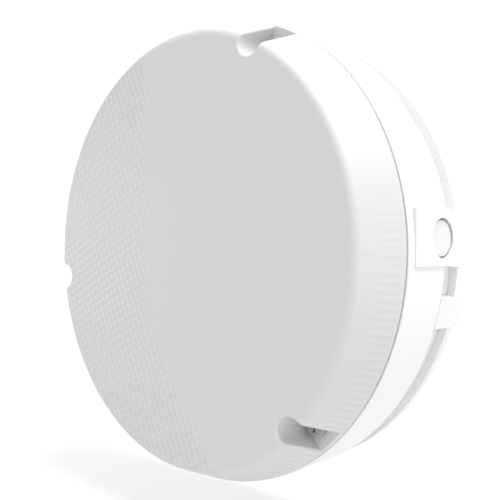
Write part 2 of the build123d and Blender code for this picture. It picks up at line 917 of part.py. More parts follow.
os.makedirs("parts", exist_ok=True)
save(wall_plate(), "wall_plate")
save(wall_seal(), "wall_seal")
save(sound_deflector(), "sound_deflector")
save(housing(), "housing")
save(insect_screen(), "insect_screen")
save(cable_grommet(), "cable_grommet")
save(plate_screws(), "plate_screws")
save(lens(), "lens")
save(lens_gasket(), "lens_gasket")
save(o_rings(), "screw_o_rings")
save(inserts(), "threaded_inserts")
for name, angle in zip(("top", "left", "bottom"), notch_angles):
    save(lens_screw(angle), "lens_screw_" + name)
save(push_button(), "push_button")
save(button_spring(), "button_spring")
save(button_board(), "button_board")
save(button_switch(), "button_switch")
save(sounder_body(), "sounder_body")
save(sounder_seal(), "sounder_seal")
save(sounder_guard(), "sounder_guard")
save(sounder_screws(), "sounder_screws")
save(piezo_ring(), "piezo_ring")
save(piezo_plate(), "piezo_plate")
save(piezo_ceramic(), "piezo_ceramic")
save(piezo_seal(), "piezo_seal")
save(main_board(), "main_board")
save(main_board_screws(), "main_board_screws")
save(terminal_block(), "terminal_block")
save(terminal_screws(), "terminal_screws")
save(transformer_core(), "transformer_core")
save(transformer_coil(), "transformer_coil")
save(capacitors(), "capacitors")
save(controller_chip(), "controller_chip")
save(trimmer_body(), "volume_trimmer_body")
save(trimmer_rotor(), "volume_trimmer_rotor")
save(dip_body(), "tone_switch_body")
for index in range(dip_ways):
    save(dip_slider_piece(index), "tone_slider_" + str(index + 1))
save(tamper_switch(), "tamper_switch")
save(tamper_plunger(), "tamper_plunger")
save(tamper_spring(), "tamper_spring")
save(led_carrier(), "led_carrier")
save(carrier_screws(), "carrier_screws")
save(led_board(), "led_board")
save(led_board_screws(), "led_board_screws")
save(leds(), "leds")
save(led_plug(), "led_plug")
save(battery_tray(), "battery_tray")
save(battery_cells(), "battery_cells")
save(battery_strap(), "battery_strap")
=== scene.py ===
# %% [markdown]
# # A round wall siren with a built-in strobe
#
# The siren is a white moulded drum that hangs flat on a wall. A frosted lens closes its front,
# three screws hold the lens from inside U-shaped notches, and a lug on the right carries a push
# button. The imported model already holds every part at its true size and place, so this lesson
# only dresses it: it sets up the room and the camera, mixes one finish for each material, and
# makes the few parts whose surface is too fine for plain turned and cut solids.

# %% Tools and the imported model
import json
from math import cos, pi, radians, sin

import bmesh
import bpy
import numpy as np
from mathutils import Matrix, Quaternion, Vector


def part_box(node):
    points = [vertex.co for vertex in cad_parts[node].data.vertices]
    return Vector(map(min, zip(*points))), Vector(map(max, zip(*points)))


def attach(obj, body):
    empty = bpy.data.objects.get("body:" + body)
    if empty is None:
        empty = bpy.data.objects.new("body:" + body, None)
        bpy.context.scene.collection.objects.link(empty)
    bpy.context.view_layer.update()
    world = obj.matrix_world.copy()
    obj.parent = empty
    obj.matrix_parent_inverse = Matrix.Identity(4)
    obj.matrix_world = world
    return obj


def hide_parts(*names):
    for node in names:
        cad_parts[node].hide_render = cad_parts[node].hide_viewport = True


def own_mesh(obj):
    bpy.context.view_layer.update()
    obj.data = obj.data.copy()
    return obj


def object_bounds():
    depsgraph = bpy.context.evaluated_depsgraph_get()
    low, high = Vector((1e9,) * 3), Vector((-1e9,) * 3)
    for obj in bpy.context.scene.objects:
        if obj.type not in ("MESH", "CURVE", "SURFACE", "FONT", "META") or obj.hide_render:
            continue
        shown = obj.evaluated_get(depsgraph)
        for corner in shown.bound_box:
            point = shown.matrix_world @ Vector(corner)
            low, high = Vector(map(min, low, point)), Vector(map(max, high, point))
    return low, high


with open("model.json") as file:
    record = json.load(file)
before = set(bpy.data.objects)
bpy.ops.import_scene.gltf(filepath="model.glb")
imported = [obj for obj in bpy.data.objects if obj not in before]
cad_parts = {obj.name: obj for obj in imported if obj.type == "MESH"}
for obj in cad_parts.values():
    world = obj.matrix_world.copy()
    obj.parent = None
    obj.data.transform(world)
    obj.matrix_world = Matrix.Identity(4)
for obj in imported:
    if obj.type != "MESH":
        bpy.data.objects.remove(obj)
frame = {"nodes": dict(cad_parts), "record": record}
CAD_LOW, CAD_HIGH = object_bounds()
MM = 0.001
print("parts in the packed model:", len(frame["nodes"]))

# %% [markdown]
# ## Sizes that the rest of the lesson uses
#
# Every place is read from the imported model, never typed in. The wall is the plane y = 0, the
# siren looks along -y, and z is up. So the middle of every round part is the line x = z = 0, and
# a part's depth is found from the y of its box.

# %% Main sizes
LENS_LOW, LENS_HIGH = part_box("lens")
FACE_Y = LENS_LOW.y
SEAT_Y = LENS_HIGH.y
FLANGE_RADIUS = CAD_HIGH.z


def middle_of(node):
    """The middle of a part's box."""
    low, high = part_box(node)
    return (low + high) / 2


print("flange radius", round(FLANGE_RADIUS / MM, 2), "mm")
print("face", round(-FACE_Y / MM, 2), "mm from the wall")

# %% [markdown]
# ## The camera
#
# The siren is seen from its front right, at its own height, from just over a quarter of a
# metre. The camera aims at a point between the wall and the face, and a normal lens this near
# gives the drum its strong perspective.

# %% Camera
VIEW_TURN = radians(44.55)
VIEW_RISE = radians(-0.2)
VIEW_DISTANCE = 0.2715
VIEW_AIM = Vector((0.0, -0.0160, 0.0004))
VIEW_ROLL = radians(0.18)
FOCAL_LENGTH = 52.3
SENSOR_WIDTH = 36.0


def make_camera():
    """A camera on the ray that leaves the aim point at the view's turn and rise."""
    data = bpy.data.cameras.new("camera")
    data.lens = FOCAL_LENGTH
    data.sensor_width = SENSOR_WIDTH
    data.clip_start = 0.01
    data.clip_end = 20.0
    camera = bpy.data.objects.new("camera", data)
    bpy.context.scene.collection.objects.link(camera)
    level = cos(VIEW_RISE)
    back = Vector((sin(VIEW_TURN) * level, -cos(VIEW_TURN) * level, sin(VIEW_RISE)))
    camera.location = VIEW_AIM + back * VIEW_DISTANCE
    camera.rotation_mode = "QUATERNION"
    roll = Quaternion(back, VIEW_ROLL)
    camera.rotation_quaternion = roll @ (-back).to_track_quat("-Z", "Y")
    bpy.context.scene.camera = camera
    return camera


camera = make_camera()
print("camera at", [round(v, 4) for v in camera.location])

# %% [markdown]
# ## A helper for surfaces
#
# Every drawn surface is a grid of points over two parameters, worked out by numpy in one go. The
# grid can close on itself in either direction, as round a tube, and a mask can leave quads out.
# Points that fall together, at the pole of a dome or the end of a wire, are merged afterwards,
# because a closed surface shades and exports better than one with a hidden slit.

# %% Helper for surfaces
def skin(name, points, close_u=False, close_v=False, keep=None):
    """A mesh over a grid of points with shape (u, v, 3): one quad between each four neighbours."""
    rows, columns = points.shape[:2]
    number = np.arange(rows * columns).reshape(rows, columns)
    u_next = np.roll(number, -1, 0)
    v_next = np.roll(number, -1, 1)
    corner = np.roll(u_next, -1, 1)
    quads = np.stack([number, u_next, corner, v_next], 2)
    quads = quads[: rows if close_u else rows - 1, : columns if close_v else columns - 1]
    quads = quads.reshape(-1, 4) if keep is None else quads[keep]
    used, quads = np.unique(quads, return_inverse=True)
    mesh = bpy.data.meshes.new(name)
    mesh.from_pydata(points.reshape(-1, 3)[used].tolist(), [], quads.reshape(-1, 4).tolist())
    made = bpy.data.objects.new(name, mesh)
    bpy.context.scene.collection.objects.link(made)
    return made


def face_outward(made):
    """Merges the points that lie together at seams and poles, then turns every face outward."""
    work = bmesh.new()
    work.from_mesh(made.data)
    bmesh.ops.remove_doubles(work, verts=work.verts, dist=0.0001 * MM)
    bmesh.ops.recalc_face_normals(work, faces=work.faces)
    work.to_mesh(made.data)
    work.free()


print("surface helper ready")

# %% [markdown]
# ## A helper for node materials
#
# Each finish below is a small graph of shader nodes. The helper keeps a graph short to write:
# node() adds one node, and a value given for a socket is either set on it or, if it is another
# node's output, linked to it. Patterns read Object coordinates, which are metres in the siren's
# own frame, so a noise scale of 1000 makes spots about a millimetre wide.

# %% Helper for finishes
class Finish:
    """One material while its node graph is being put together."""

    def __init__(self, name):
        self.material = bpy.data.materials.new(name)
        self.material.use_nodes = True
        self.tree = self.material.node_tree
        self.shader = self.tree.nodes["Principled BSDF"]
        self.place = self.node("ShaderNodeTexCoord").outputs["Object"]

    def node(self, kind, sockets=None, **settings):
        made = self.tree.nodes.new(kind)
        for key, value in settings.items():
            setattr(made, key, value)
        for key, value in (sockets or {}).items():
            self.give(made.inputs[key], value)
        return made

    def give(self, socket, value):
        if isinstance(value, bpy.types.NodeSocket):
            self.tree.links.new(value, socket)
        else:
            socket.default_value = value

    def shade(self, **values):
        for key, value in values.items():
            self.give(self.shader.inputs[key.replace("_", " ").title()], value)

    def noise(self, size, detail=2.0, place=None):
        """Cloudy noise whose spots are about that size, in metres."""
        sockets = {"Vector": place or self.place, "Scale": 1.0 / size, "Detail": detail}
        return self.node("ShaderNodeTexNoise", sockets).outputs["Fac"]

    def maths(self, operation, first, second=0.0):
        return self.node("ShaderNodeMath", {0: first, 1: second}, operation=operation).outputs[0]

    def hypotenuse(self, first, second):
        """The root of the sum of two squares."""
        squares = [self.maths("POWER", side, 2.0) for side in (first, second)]
        return self.maths("SQRT", self.maths("ADD", *squares))

    def spread(self, value, low, high, start=0.0, end=1.0):
        """Carries the range start..end to low..high and clamps it."""
        sockets = {"Value": value, "From Min": start, "From Max": end, "To Min": low, "To Max": high}
        return self.node("ShaderNodeMapRange", sockets).outputs["Result"]

    def blend(self, share, first, second):
        """The first colour where share is 0 and the second where it is 1."""
        sockets = {"Factor": share, 6: first, 7: second}
        return self.node("ShaderNodeMix", sockets, data_type="RGBA").outputs[2]

    def bump(self, height, distance, normal=None):
        """A surface normal that leans as if the height stood proud by that distance."""
        sockets = {"Height": height, "Distance": distance}
        if normal is not None:
            sockets["Normal"] = normal
        return self.node("ShaderNodeBump", sockets).outputs["Normal"]

    def rounded(self, radius):
        """A normal that turns smoothly over sharp edges, as a small moulded radius does."""
        return self.node("ShaderNodeBevel", {"Radius": radius}, samples=4).outputs["Normal"]

    def edges(self, soft_normal):
        """Near 1 on sharp outer edges: where the rounded normal leaves the flat one."""
        flat = self.node("ShaderNodeNewGeometry").outputs["Normal"]
        across = self.node("ShaderNodeVectorMath", {0: soft_normal, 1: flat}, operation="DOT_PRODUCT")
        return self.spread(across.outputs["Value"], 1.0, 0.0, 0.80, 0.995)


def grey(value, alpha=1.0):
    return (value, value, value, alpha)


def shade_of(colour, share):
    """A colour made darker or lighter by a share."""
    return tuple(min(1.0, c * share) for c in colour[:3]) + (1.0,)


finishes = {}
print("finish helper ready")

# %% [markdown]
# ## White moulded plastic
#
# The housing and the wall plate are moulded in white ABS. A mould leaves a very fine even grain,
# slow changes of gloss where the plastic cooled at a different rate, and edges that are never
# quite sharp. The grain is bump from a noise with spots of a fraction of a millimetre. The
# rounded edges come from a bevel normal, so no vertex has to move, and they are painted a little
# paler as a painted highlight.

# %% Moulded plastic
def moulded(name, colour, gloss=0.42, grain=0.35 * MM, depth=0.012 * MM, edge=0.35 * MM, tone=0.97):
    """Fine-grained moulding: grain bump, cloudy gloss, and rounded edges painted paler as a highlight."""
    mix = Finish(name)
    cloud = mix.noise(22 * MM, 3.0)
    speck = mix.noise(grain, 2.0)
    soft = mix.rounded(edge)
    body = mix.blend(cloud, shade_of(colour, tone), colour)
    # Painted highlight: the rounded edges are painted a little paler, as if they caught more light.
    edge_wear_and_highlight = mix.maths("MULTIPLY", mix.edges(soft), 0.35)
    mix.shade(
        base_color=mix.blend(edge_wear_and_highlight, body, shade_of(colour, 1.06)),
        roughness=mix.spread(cloud, gloss - 0.06, gloss + 0.08, 0.3, 0.7),
        normal=mix.bump(speck, depth, soft),
    )
    mix.shader.inputs["IOR"].default_value = 1.52
    finishes[name] = mix.material
    return mix


SIREN_WHITE = (0.80, 0.80, 0.797, 1.0)
moulded("housing_plastic", SIREN_WHITE)
moulded("plate_plastic", SIREN_WHITE, gloss=0.46)
moulded("carrier_plastic", (0.93, 0.93, 0.92, 1.0), gloss=0.5)
moulded("connector_plastic", (0.80, 0.77, 0.66, 1.0), gloss=0.45, grain=0.2 * MM, edge=0.15 * MM)
moulded("slider_plastic", (0.87, 0.87, 0.85, 1.0), gloss=0.35, grain=0.1 * MM, edge=0.1 * MM)
moulded("black_plastic", (0.022, 0.022, 0.025, 1.0), gloss=0.5, grain=0.18 * MM, edge=0.2 * MM, tone=0.8)
moulded("trimmer_plastic", (0.03, 0.12, 0.42, 1.0), gloss=0.38, grain=0.15 * MM, edge=0.15 * MM, tone=0.9)
moulded("dip_plastic", (0.50, 0.035, 0.03, 1.0), gloss=0.4, grain=0.15 * MM, edge=0.15 * MM, tone=0.9)
moulded("terminal_plastic", (0.04, 0.24, 0.09, 1.0), gloss=0.45, grain=0.18 * MM, edge=0.2 * MM, tone=0.88)


print("plastics:", sorted(finishes))

# %% [markdown]
# ## The push button
#
# The button is the same kind of moulding in a satin light grey. Its front lies almost flush with
# the lug, so the thin gap round it has to be seen: the rim, which turns down into the well, is
# painted dark as the shade in that gap. The distance from the button's own axis says where the rim is.

# %% Push button
BUTTON_FLANGE_STEP = 0.6 * MM
# Inward from the rim: where the painted shade of the gap starts and where it is full.
GAP_SHADE_START = 0.65 * MM
GAP_SHADE_FULL = 0.30 * MM


def button_finish():
    """Painted shade in the gap: dark where the distance from the axis is near the radius of the button's
    front.
    """
    mix = moulded("button_plastic", grey(0.70), gloss=0.36, grain=0.22 * MM, edge=0.25 * MM)
    low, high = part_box("push_button")
    middle = middle_of("push_button")
    front_radius = (high.z - low.z) / 2 - BUTTON_FLANGE_STEP
    axes = mix.node("ShaderNodeSeparateXYZ", {"Vector": mix.place})
    across = mix.maths("SUBTRACT", axes.outputs["Y"], middle.y)
    upward = mix.maths("SUBTRACT", axes.outputs["Z"], middle.z)
    reach = mix.hypotenuse(across, upward)
    # Painted shade: the rim next to the gap is turned dark grey, standing in for the shade inside the gap.
    painted_gap_shade = mix.spread(reach, 0.0, 1.0, front_radius - GAP_SHADE_START, front_radius - GAP_SHADE_FULL)
    colour = mix.shader.inputs["Base Color"].links[0].from_socket
    mix.shade(base_color=mix.blend(painted_gap_shade, colour, grey(0.12)))


button_finish()
print("button seam", GAP_SHADE_START / MM, "mm wide")

# %% [markdown]
# ## The frosted lens
#
# The lens is one polycarbonate moulding. Its face carries a square grid of tiny prisms on the
# inside, turned by 25 degrees, and its side wall carries fine ribs that run from the seat
# towards the face. Both show through the frost as soft relief, and the light and shade that the
# relief would catch is painted into the colour as a faint swing of tone. The grid is worked out
# from the Object coordinates: the place is turned about y, each of the two directions is folded
# into a triangle wave, and the lower of the two waves is a field of square pyramids. The ribs
# fold the angle round the axis in the same way. Masks made from the place keep the prisms on the
# face, strongest on its left, and the ribs on the rear half of the wall, strongest low down. The
# painted light and shade follows the masks too: it is strongest on the left of the face, the side
# a grazing light comes from, and on the ribs low down. This is a finish and not a mesh, because
# the light has to reach the pattern through a smooth outer skin.

# %% Lens finish
PRISM_PITCH = 2.75 * MM
PRISM_TURN = radians(25.0)
RIB_COUNT = 198
FACE_SKIN = (0.15 * MM, 0.8 * MM)
SEAT_SKIN = (1.2 * MM, 2.2 * MM)
RIB_END = (6 * MM, 9 * MM)
GRID_EDGE = (-21 * MM, -14 * MM)
GRID_BEND_Z = -25 * MM
GRID_BEND_SLOPE = 0.8
GRID_DEPTH = 0.30 * MM


def prism_waves(mix):
    """Two triangle waves on a turned grid; the lower of the two is a field of square pyramids."""
    turned = mix.node("ShaderNodeMapping", {"Vector": mix.place, "Rotation": (0.0, PRISM_TURN, 0.0)})
    axes = mix.node("ShaderNodeSeparateXYZ", {"Vector": turned.outputs["Vector"]})
    half = PRISM_PITCH / 2
    folded = [mix.maths("PINGPONG", axes.outputs[axis], half) for axis in ("X", "Z")]
    return [mix.maths("DIVIDE", wave, half) for wave in folded]


def rib_height(mix, axes):
    """0 in the valleys and 1 on the crests of ribs spaced evenly round the axis."""
    angle = mix.maths("ARCTAN2", axes.outputs["Z"], axes.outputs["X"])
    turns = mix.maths("MULTIPLY", angle, RIB_COUNT / (2 * pi))
    return mix.maths("MULTIPLY", mix.maths("PINGPONG", turns, 0.5), 2.0)


def grid_share(mix, axes):
    """1 on the left of the face, almost 0 on the right, with a boundary that bends low down."""
    under = mix.maths("MINIMUM", mix.maths("SUBTRACT", axes.outputs["Z"], GRID_BEND_Z), 0.0)
    edge = mix.maths("ADD", axes.outputs["X"], mix.maths("MULTIPLY", under, GRID_BEND_SLOPE))
    return mix.spread(edge, 1.0, 0.08, *GRID_EDGE)


def wall_share(mix, axes):
    """1 on the rear half of the side wall and 0 on its seat and its front half."""
    seat = mix.spread(axes.outputs["Y"], 0.0, 1.0, SEAT_Y - SEAT_SKIN[0], SEAT_Y - SEAT_SKIN[1])
    front = mix.spread(axes.outputs["Y"], 0.0, 1.0, FACE_Y + RIB_END[0], FACE_Y + RIB_END[1])
    return mix.maths("MULTIPLY", seat, front)


def lens_relief(mix, axes, prisms, ribs, depth):
    """Height of both patterns, with the ribs a third as high and lowest at the top."""
    low_down = mix.spread(axes.outputs["Z"], 1.0, 0.15, -20 * MM, 20 * MM)
    rib_part = mix.maths("MULTIPLY", ribs, mix.maths("MULTIPLY", low_down, 0.3))
    return mix.maths("ADD", mix.maths("MULTIPLY", prisms, depth), rib_part)


def painted_relief_light(mix, axes, waves, face, wall, depth):
    """Painted light and shade of the relief: about a half everywhere, swinging up and down with the grid
    lines and the ribs.
    """
    first, second = waves
    weave = mix.maths("ADD", mix.maths("MULTIPLY", first, 0.7), mix.maths("MULTIPLY", second, 0.3))
    grid = mix.maths("MULTIPLY", mix.maths("SUBTRACT", weave, 0.5), mix.maths("MULTIPLY", depth, face))
    crest = mix.maths("SUBTRACT", rib_height(mix, axes), 0.5)
    low_down = mix.spread(axes.outputs["Z"], 1.0, 0.0, -45 * MM, -5 * MM)
    stripes = mix.maths("MULTIPLY", crest, mix.maths("MULTIPLY", wall, low_down))
    return mix.maths("ADD", 0.5, mix.maths("ADD", grid, mix.maths("MULTIPLY", stripes, 0.7)))


def frosted_lens(name, colour):
    """Frosted polycarbonate: the two patterns as bump and as painted light and shade, a fine frost and a
    slow cloudiness.
    """
    mix = Finish(name)
    axes = mix.node("ShaderNodeSeparateXYZ", {"Vector": mix.place})
    face = mix.spread(axes.outputs["Y"], 1.0, 0.0, FACE_Y + FACE_SKIN[0], FACE_Y + FACE_SKIN[1])
    wall = wall_share(mix, axes)
    depth = grid_share(mix, axes)
    waves = prism_waves(mix)
    prisms = mix.maths("MULTIPLY", mix.maths("MINIMUM", *waves), face)
    ribs = mix.maths("MULTIPLY", rib_height(mix, axes), wall)
    relief = lens_relief(mix, axes, prisms, ribs, depth)
    tone = painted_relief_light(mix, axes, waves, face, wall, depth)
    frost = mix.noise(0.25 * MM, 2.0)
    cloud = mix.noise(30 * MM, 2.0)
    soft = mix.rounded(0.3 * MM)
    # The tone is painted light and shade: it turns the lens grey darker and lighter along the grid lines
    # and ribs.
    painted_relief_colour = mix.blend(tone, shade_of(colour, 0.92), shade_of(colour, 1.08))
    mix.shade(
        base_color=mix.blend(mix.spread(cloud, 0.0, 0.25), painted_relief_colour, shade_of(colour, 0.96)),
        roughness=mix.spread(frost, 0.36, 0.46),
        normal=mix.bump(frost, 0.006 * MM, mix.bump(relief, GRID_DEPTH, soft)),
    )
    mix.shader.inputs["IOR"].default_value = 1.58
    finishes[name] = mix.material


frosted_lens("lens_plastic", grey(0.60))
print("lens grid", PRISM_PITCH / MM, "mm, ribs", RIB_COUNT)

# %% [markdown]
# ## The room
#
# A plain pale floor lies just under the siren, and the whole room glows evenly white, as in a
# light tent. The floor glows a little more far away, so that no horizon shows. Three soft panels
# do the rest: a large one above and to the right lifts the upper side, which is what makes the
# drum read as round, a weak one at the lower right opens the groove behind the body, and a small
# one at the left grazes the face and brings out the prisms.

# %% Floor
FLOOR_REACH = 6.0
FLOOR_GAP = 14 * MM
NEAR_FLOOR = 0.22
FAR_FLOOR = 1.2


def make_floor(reach, level):
    """A flat round sheet: a grid over radius and angle, at one level."""
    radius, angle = np.meshgrid(np.linspace(0.0, reach, 9), np.linspace(0, 2 * pi, 65)[:-1])
    x = radius * np.cos(angle)
    y = radius * np.sin(angle)
    points = np.stack([x, y, np.full(radius.shape, level)], 2)
    return skin("floor", points, close_u=True)


def floor_finish():
    """A pale glowing sheet with a faint cloudiness, as a light table has."""
    mix = Finish("floor_paint")
    cloud = mix.noise(0.4, 3.0)
    far = mix.node("ShaderNodeVectorMath", {0: mix.place}, operation="LENGTH").outputs["Value"]
    mix.shade(
        base_color=mix.blend(cloud, grey(0.33), grey(0.36)),
        roughness=mix.spread(cloud, 0.85, 0.95),
        emission_color=grey(1.0),
        emission_strength=mix.spread(far, 0.60, 0.72, NEAR_FLOOR, FAR_FLOOR),
    )
    return mix.material


floor = make_floor(FLOOR_REACH, CAD_LOW.z - FLOOR_GAP)
floor.data.materials.append(floor_finish())
print("floor level", round((CAD_LOW.z - FLOOR_GAP) / MM, 1), "mm")


# %% Light panels and tent
def make_panel(name, place, size, power):
    """A square soft panel that faces the siren."""
    data = bpy.data.lights.new(name, "AREA")
    data.size = size
    data.energy = power
    panel = bpy.data.objects.new(name, data)
    bpy.context.scene.collection.objects.link(panel)
    panel.location = place
    panel.visible_camera = False
    panel.rotation_mode = "QUATERNION"
    panel.rotation_quaternion = (-Vector(place)).to_track_quat("-Z", "Y")


make_panel("top_panel", (0.42, 0.0, 0.90), 0.6, 10.0)
make_panel("low_panel", (0.40, 0.02, -0.06), 0.12, 0.03)
make_panel("grazing_panel", (-0.26, -0.12, 0.02), 0.06, 0.03)


def make_tent(glow, seen):
    """An even white surround: it lights the siren with one strength and is seen with another."""
    world = bpy.data.worlds.new("light_tent")
    world.use_nodes = True
    tree = world.node_tree
    rays = tree.nodes.new("ShaderNodeLightPath")
    choose = tree.nodes.new("ShaderNodeMapRange")
    choose.inputs["To Min"].default_value = glow
    choose.inputs["To Max"].default_value = seen
    tree.links.new(rays.outputs["Is Camera Ray"], choose.inputs["Value"])
    tree.links.new(choose.outputs["Result"], tree.nodes["Background"].inputs["Strength"])
    tree.nodes["Background"].inputs["Color"].default_value = grey(1.0)
    bpy.context.scene.world = world


make_tent(glow=0.85, seen=1.05)
bpy.context.scene.view_settings.view_transform = "Standard"
bpy.context.scene.view_settings.look = "None"
print("room ready")

# %% [markdown]
# ## Rubber and metal
#
# Rubber is matt, with fine pits and a dusty bloom in slow clouds. Metal has a lay: a noise
# stretched along one axis, which moves the gloss and the bump together. Tarnish darkens it in
# patches, and handling brightens its edges.

# %% Rubber
def rubber(name, colour, bloom):
    mix = Finish(name)
    pits = mix.noise(0.3 * MM, 3.0)
    dust = mix.spread(mix.noise(9 * MM, 4.0), 0.0, bloom, 0.45, 0.70)
    mix.shade(
        base_color=mix.blend(dust, colour, grey(0.50)),
        roughness=mix.spread(pits, 0.62, 0.82, 0.3, 0.7),
        normal=mix.bump(pits, 0.02 * MM, mix.rounded(0.25 * MM)),
    )
    finishes[name] = mix.material


rubber("seal_rubber", grey(0.34), 0.30)
rubber("grommet_rubber", grey(0.022), 0.12)
print("rubbers ready")


# %% Metal
def metal(name, colour, gloss, tarnish, lay=(1.0, 1.0, 1.0), stroke=0.25 * MM):
    """Bare metal: stretched brush strokes, tarnish in clouds and brighter edges."""
    mix = Finish(name)
    stretched = mix.node("ShaderNodeMapping", {"Vector": mix.place, "Scale": lay})
    strokes = mix.noise(stroke, 2.0, stretched.outputs["Vector"])
    soft = mix.rounded(0.12 * MM)
    spots = mix.spread(mix.noise(3 * MM, 3.0), 0.0, tarnish, 0.45, 0.75)
    # On metal the brighter edges are wear from handling.
    edge_wear_and_highlight = mix.maths("MULTIPLY", mix.edges(soft), 0.5)
    body = mix.blend(spots, colour, shade_of(colour, 0.6))
    mix.shade(
        base_color=mix.blend(edge_wear_and_highlight, body, shade_of(colour, 1.15)),
        roughness=mix.spread(strokes, gloss - 0.07, gloss + 0.10, 0.3, 0.7),
        normal=mix.bump(strokes, 0.004 * MM, soft),
    )
    mix.shader.inputs["Metallic"].default_value = 1.0
    finishes[name] = mix.material


metal("screw_steel", (0.60, 0.60, 0.58, 1.0), 0.30, 0.35)
metal("spring_steel", (0.50, 0.50, 0.51, 1.0), 0.24, 0.30, lay=(0.1, 1.0, 1.0))
metal("screen_steel", (0.52, 0.52, 0.53, 1.0), 0.36, 0.25)
metal("insert_brass", (0.76, 0.56, 0.25, 1.0), 0.28, 0.40, lay=(1.0, 0.1, 1.0))
metal("piezo_brass", (0.80, 0.61, 0.29, 1.0), 0.32, 0.45, lay=(0.06, 1.0, 1.0))


def coated(name, colour):
    """Steel under a matt grey coating: fine pits, and bare bright metal only on the edges."""
    mix = Finish(name)
    pits = mix.noise(0.15 * MM, 3.0)
    soft = mix.rounded(0.12 * MM)
    bare = mix.maths("MULTIPLY", mix.edges(soft), 0.4)
    mix.shade(
        base_color=mix.blend(bare, colour, grey(0.50)),
        metallic=bare,
        roughness=mix.spread(pits, 0.5, 0.7, 0.3, 0.7),
        normal=mix.bump(pits, 0.01 * MM, soft),
    )
    finishes[name] = mix.material


coated("lens_screw_steel", grey(0.33))
print("metals ready")

# %% [markdown]
# ## Circuit boards
#
# Under the solder mask the copper runs along one direction in some areas and across in others.
# Each track is the low part of a triangle wave of the place, so its height is the same formula
# as a roof: 1 - distance / half width. Round tinned pads sit where the two track grids cross.

# %% Boards
TRACK_PITCH = 1.27 * MM


def laminate(name, mask, copper):
    mix = Finish(name)
    axes = mix.node("ShaderNodeSeparateXYZ", {"Vector": mix.place})
    away = [mix.maths("PINGPONG", axes.outputs[axis], TRACK_PITCH / 2) for axis in ("X", "Z")]
    tracks = [mix.spread(distance, 1.0, 0.0, 0.16 * MM, 0.22 * MM) for distance in away]
    area = mix.spread(mix.noise(7 * MM, 0.0), 0.0, 1.0, 0.50, 0.51)
    bare = mix.spread(mix.noise(5 * MM, 0.0), 0.0, 1.0, 0.47, 0.48)
    across = mix.maths("MULTIPLY", tracks[0], area)
    along = mix.maths("MULTIPLY", tracks[1], mix.maths("SUBTRACT", 1.0, area))
    track = mix.maths("MULTIPLY", mix.maths("ADD", across, along), bare)
    reach = mix.hypotenuse(*away)
    few = mix.spread(mix.noise(2.2 * MM, 0.0), 0.0, 1.0, 0.62, 0.63)
    pad = mix.maths("MULTIPLY", mix.spread(reach, 1.0, 0.0, 0.36 * MM, 0.40 * MM), few)
    colour = mix.blend(pad, mix.blend(track, mask, copper), (0.72, 0.71, 0.66, 1.0))
    mix.shade(
        base_color=colour,
        metallic=pad,
        roughness=mix.spread(mix.noise(0.5 * MM), 0.22, 0.36, 0.3, 0.7),
        normal=mix.bump(mix.maths("MAXIMUM", track, pad), 0.035 * MM, mix.rounded(0.1 * MM)),
    )
    finishes[name] = mix.material


laminate("board_laminate", (0.012, 0.11, 0.035, 1.0), (0.03, 0.20, 0.06, 1.0))
laminate("led_board_laminate", (0.86, 0.86, 0.84, 1.0), (0.78, 0.78, 0.75, 1.0))
print("boards ready")

# %% [markdown]
# ## Electrical parts
#
# The sleeves have a printed band, the chip has tinned leads near the board, the winding tape
# shows the turns beneath it, and each LED has a yellow phosphor window in a white package.

# %% Sleeves, chip, ceramic and ferrite
def banded(name, colour, band, axis, pitch, share, gloss):
    """A shrunk sleeve with a second colour over a share of every pitch along one axis."""
    mix = Finish(name)
    axes = mix.node("ShaderNodeSeparateXYZ", {"Vector": mix.place})
    fold = mix.maths("PINGPONG", axes.outputs[axis], pitch / 2)
    edge = pitch * share / 2
    strip = mix.spread(fold, 1.0, 0.0, edge, edge + 0.05 * MM)
    ripple = mix.noise(1.6 * MM, 3.0)
    mix.shade(
        base_color=mix.blend(strip, colour, band),
        roughness=mix.spread(ripple, gloss - 0.05, gloss + 0.08, 0.3, 0.7),
        normal=mix.bump(ripple, 0.03 * MM, mix.rounded(0.3 * MM)),
    )
    finishes[name] = mix.material


def gritty(name, colour, second, grain, gloss):
    """A sintered or cast surface: two tones in fine grains, with pits."""
    mix = Finish(name)
    grains = mix.noise(grain, 4.0)
    mix.shade(
        base_color=mix.blend(mix.spread(grains, 0.0, 1.0, 0.4, 0.6), colour, second),
        roughness=mix.spread(grains, gloss, gloss + 0.15, 0.3, 0.7),
        normal=mix.bump(grains, 0.02 * MM, mix.rounded(0.15 * MM)),
    )
    finishes[name] = mix.material


def leaded(name, colour, lead_top):
    """Cast epoxy above a level, tinned metal between that level and the board."""
    mix = Finish(name)
    axes = mix.node("ShaderNodeSeparateXYZ", {"Vector": mix.place})
    tin = mix.spread(axes.outputs["Y"], 0.0, 1.0, lead_top, lead_top + 0.05 * MM)
    grains = mix.noise(0.12 * MM, 3.0)
    mix.shade(
        base_color=mix.blend(tin, colour, grey(0.62)),
        metallic=tin,
        roughness=mix.spread(grains, 0.42, 0.60, 0.3, 0.7),
        normal=mix.bump(grains, 0.01 * MM, mix.rounded(0.12 * MM)),
    )
    finishes[name] = mix.material


banded("capacitor_sleeve", (0.02, 0.025, 0.05, 1.0), grey(0.60), "X", 10 * MM, 0.16, 0.28)
banded("cell_sleeve", (0.03, 0.24, 0.11, 1.0), grey(0.75), "Z", 44 * MM, 0.10, 0.24)
banded("copper_coil", (0.62, 0.38, 0.05, 1.0), (0.50, 0.28, 0.03, 1.0), "Z", 0.7 * MM, 0.45, 0.36)
gritty("ferrite", grey(0.045), grey(0.075), 0.25 * MM, 0.5)
gritty("piezo_ceramic", (0.66, 0.65, 0.60, 1.0), (0.78, 0.77, 0.72, 1.0), 0.4 * MM, 0.35)
leaded("chip_epoxy", grey(0.02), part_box("controller_chip")[1].y - 0.5 * MM)
print("electrical finishes ready")


# %% LED packages
LED_RINGS = (28.0 * MM, 42.0 * MM)
LED_STEP = 2 * pi / 12


